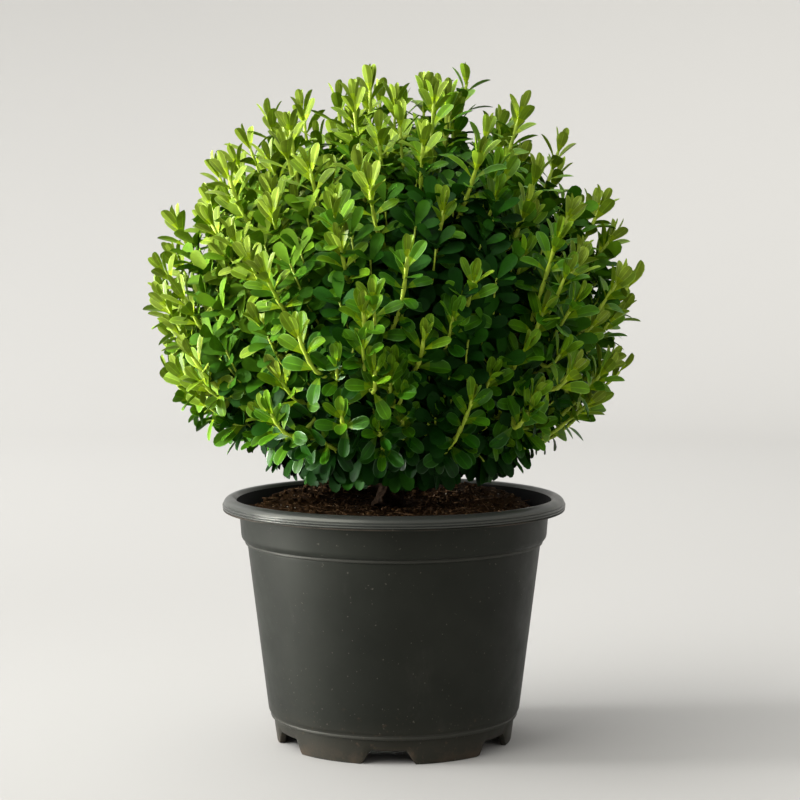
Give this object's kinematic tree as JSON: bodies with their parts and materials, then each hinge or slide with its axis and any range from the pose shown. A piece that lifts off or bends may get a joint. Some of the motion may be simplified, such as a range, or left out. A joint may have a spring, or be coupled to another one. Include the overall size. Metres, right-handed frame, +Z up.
{
  "type": "potted box shrub",
  "caption": "Loose ball-shaped evergreen box shrub with small leaves on upright shoots, on a short trunk in a round tapered black nursery pot.",
  "frame": {"origin": "on the pot's axis, at the level of the flat underside of its foot", "axes": "+Z up along the pot's axis, -Y towards the camera side of the plant, +X to its right"},
  "size_m": [0.3419, 0.3368, 0.4718],
  "materials": {
    "pot_plastic": "matte black plastic with a soft sheen and light dust",
    "potting_soil": "moist dark brown fibrous potting soil",
    "bark": "dull grey-brown bark",
    "foliage": "glossy green leaves, yellow-green at the shoot tips"
  },
  "bodies": {
    "root": {"pot": "pot_plastic", "soil": "potting_soil", "trunk": "bark", "bough_upper_1": "bark", "bough_upper_2": "bark", "bough_upper_3": "bark", "bough_upper_4": "bark", "bough_upper_5": "bark", "bough_middle_1": "bark", "bough_middle_2": "bark", "bough_middle_3": "bark", "bough_middle_4": "bark", "bough_middle_5": "bark", "bough_middle_6": "bark", "bough_lower_1": "bark", "bough_lower_2": "bark", "bough_lower_3": "bark", "bough_lower_4": "bark", "bough_lower_5": "bark", "bough_lower_6": "bark", "foliage_top": "foliage", "foliage_upper_1": "foliage", "foliage_upper_2": "foliage", "foliage_upper_3": "foliage", "foliage_upper_4": "foliage", "foliage_upper_5": "foliage", "foliage_middle_1": "foliage", "foliage_middle_2": "foliage", "foliage_middle_3": "foliage", "foliage_middle_4": "foliage", "foliage_middle_5": "foliage", "foliage_middle_6": "foliage", "foliage_lower_1": "foliage", "foliage_lower_2": "foliage", "foliage_lower_3": "foliage", "foliage_lower_4": "foliage", "foliage_lower_5": "foliage", "foliage_lower_6": "foliage"}
  },
  "joints": []
}
